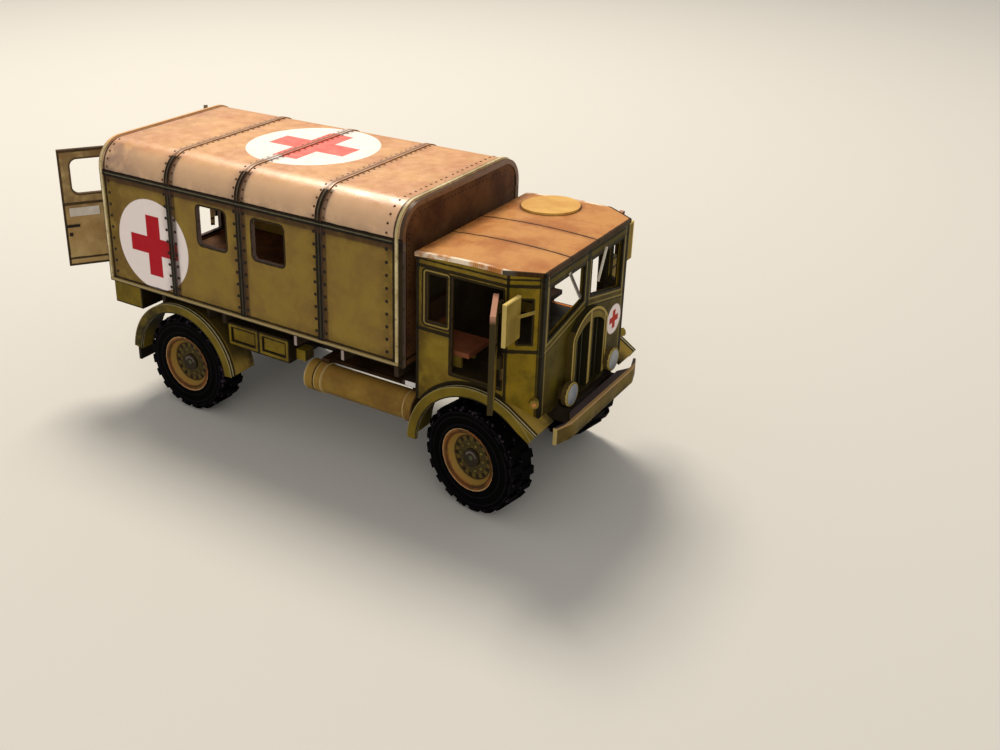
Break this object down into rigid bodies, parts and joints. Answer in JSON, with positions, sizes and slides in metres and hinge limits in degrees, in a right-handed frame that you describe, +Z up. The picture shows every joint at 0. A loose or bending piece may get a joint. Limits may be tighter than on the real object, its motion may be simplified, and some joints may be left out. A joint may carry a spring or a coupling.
{
  "type": "card scale model of a military ambulance truck",
  "caption": "Small hand-built card model of a boxy four-wheeled military ambulance truck in olive and tan, with red crosses on white discs, open rear doors and one cab door open.",
  "frame": {"origin": "middle of the base of the whole model's box as the doors stand open; the cab doors, open by unlike angles, put it a hair off the truck's centreline, and the open rear doors a little back", "axes": "+X forwards, +Y to the truck's left, +Z up"},
  "size_m": [0.0624, 0.0318, 0.0298],
  "materials": {
    "olive_card": "matte",
    "tan_card": "matte",
    "cream_card": "matte",
    "pale_card": "matte",
    "dark_card": "matte",
    "black_card": "matte",
    "rim_card": "matte",
    "seat_card": "matte"
  },
  "bodies": {
    "truck": {"chassis_frame": "dark_card", "bearers": "pale_card", "front_axle": "dark_card", "rear_axle": "dark_card", "front_springs": "dark_card", "rear_springs": "dark_card", "fuel_tank": "olive_card", "tank_arms": "dark_card", "lockers": "olive_card", "rear_step": "olive_card", "body_floor": "olive_card", "body_side_right": "olive_card", "body_side_left": "olive_card", "body_front_wall": "olive_card", "body_roof": "tan_card", "body_rear_frame": "olive_card", "body_beading": "cream_card", "front_fender_right": "olive_card", "front_fender_left": "olive_card", "rear_fender_right": "olive_card", "rear_fender_left": "olive_card", "cab_side_right": "olive_card", "cab_side_left": "olive_card", "cab_front": "olive_card", "cab_rear_wall": "olive_card", "cab_floor": "olive_card", "cab_roof": "tan_card", "roof_hatch": "tan_card", "seats": "seat_card", "seat_brackets": "olive_card", "radiator_surround": "olive_card", "headlamps": "olive_card", "headlamp_lenses": "pale_card", "front_bumper": "olive_card", "mirrors": "olive_card", "wipers": "pale_card", "side_lamps": "olive_card"},
    "rear_door_right": {"rear_door_right": "olive_card"},
    "rear_door_left": {"rear_door_left": "olive_card"},
    "cab_door_right": {"cab_door_right": "olive_card"},
    "cab_door_left": {"cab_door_left": "olive_card"},
    "wheel_front_right": {"tyre_front_right": "black_card", "rim_front_right": "rim_card"},
    "wheel_front_left": {"tyre_front_left": "black_card", "rim_front_left": "rim_card"},
    "wheel_rear_right": {"tyre_rear_right": "black_card", "rim_rear_right": "rim_card"},
    "wheel_rear_left": {"tyre_rear_left": "black_card", "rim_rear_left": "rim_card"}
  },
  "joints": [
    {"name": "wheel_front_right_roll", "type": "hinge", "parent": "truck", "child": "wheel_front_right", "pos_m": [0.02254, -0.0093, 0.00561], "axis": [0.1736, 0.9848, 0], "continuous": true},
    {"name": "wheel_front_left_roll", "type": "hinge", "parent": "truck", "child": "wheel_front_left", "pos_m": [0.02254, 0.00908, 0.00561], "axis": [0.1736, 0.9848, 0], "continuous": true},
    {"name": "wheel_rear_right_roll", "type": "hinge", "parent": "truck", "child": "wheel_rear_right", "pos_m": [-0.01466, -0.0093, 0.00561], "axis": [0, 1, 0], "continuous": true},
    {"name": "wheel_rear_left_roll", "type": "hinge", "parent": "truck", "child": "wheel_rear_left", "pos_m": [-0.01466, 0.00908, 0.00561], "axis": [0, 1, 0], "continuous": true},
    {"name": "rear_door_right_hinge", "type": "hinge", "parent": "truck", "child": "rear_door_right", "pos_m": [-0.02581, -0.00726, 0.01798], "axis": [0, 0, 1], "range_deg": [-144, 30]},
    {"name": "rear_door_left_hinge", "type": "hinge", "parent": "truck", "child": "rear_door_left", "pos_m": [-0.02581, 0.00704, 0.01798], "axis": [0, 0, 1], "range_deg": [-37, 137]},
    {"name": "cab_door_right_hinge", "type": "hinge", "parent": "truck", "child": "cab_door_right", "pos_m": [0.02544, -0.01088, 0.01798], "axis": [0, 0, 1], "range_deg": [-117, 0]},
    {"name": "cab_door_left_hinge", "type": "hinge", "parent": "truck", "child": "cab_door_left", "pos_m": [0.02544, 0.01066, 0.01798], "axis": [0, 0, 1], "range_deg": [-20, 88]}
  ]
}
